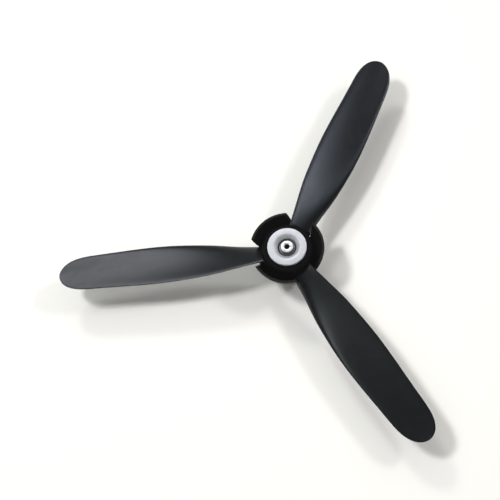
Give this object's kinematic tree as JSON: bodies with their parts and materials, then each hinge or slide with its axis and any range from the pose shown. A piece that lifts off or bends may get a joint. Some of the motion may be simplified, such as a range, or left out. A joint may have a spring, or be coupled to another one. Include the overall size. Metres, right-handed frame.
{
  "type": "model aircraft propeller",
  "caption": "Multi-blade tractor propeller with separate twisted blades clamped in a two-piece hub, a collet shaft adapter and a hollow notched nose spinner.",
  "frame": {"origin": "on the propeller's axis in the plane of the drive washer's rear face, where the motor shaft enters the collet", "axes": "+Z along the propeller's axis towards the motor, so the spinner's nose points to -Z; -X along one blade's axis"},
  "size_m": [0.1411, 0.1554, 0.0273],
  "materials": {
    "blade_plastic": "satin moulded glass-filled nylon, fine grain",
    "hub_plastic": "satin moulded nylon",
    "spinner_plastic": "smooth semi-gloss moulded plastic",
    "bush_nylon": "natural nylon",
    "turned_aluminium": "fine turned, bright chamfered edges",
    "zinc_steel": "bright zinc plate",
    "black_screw_steel": "black oxide"
  },
  "bodies": {
    "root": {"blade_1": "blade_plastic", "blade_2": "blade_plastic", "blade_3": "blade_plastic", "hub_rear": "hub_plastic", "hub_front": "hub_plastic", "hub_screw_1": "black_screw_steel", "hub_screw_2": "black_screw_steel", "hub_screw_3": "black_screw_steel", "bore_bush": "bush_nylon", "drive_washer": "turned_aluminium", "front_washer": "zinc_steel"},
    "collet": {"collet": "turned_aluminium"},
    "prop_nut": {"prop_nut": "zinc_steel"},
    "spinner": {"spinner_shell": "spinner_plastic"},
    "spinner_screw": {"spinner_screw": "zinc_steel"}
  },
  "joints": [
    {"name": "prop_nut_turn", "type": "hinge", "parent": "root", "child": "prop_nut", "pos_m": [0, 0, -0.0169], "axis": [0, 0, -1], "range_deg": [0, 360]},
    {"name": "collet_slide", "type": "slide", "parent": "root", "child": "collet", "axis": [0, 0, 1], "range_m": [0, 0.0008]},
    {"name": "spinner_screw_turn", "type": "hinge", "parent": "spinner", "child": "spinner_screw", "pos_m": [0, 0, -0.0243], "axis": [0, 0, -1], "range_deg": [0, 2880]},
    {"name": "spinner_slide", "type": "slide", "parent": "root", "child": "spinner", "axis": [0, 0, -1], "range_m": [0, 0.004]}
  ],
  "couplings": [
    {"joint": "prop_nut_turn", "follows": "collet_slide", "rad_per_m": 7854},
    {"joint": "spinner_screw_turn", "follows": "spinner_slide", "rad_per_m": 12566}
  ]
}
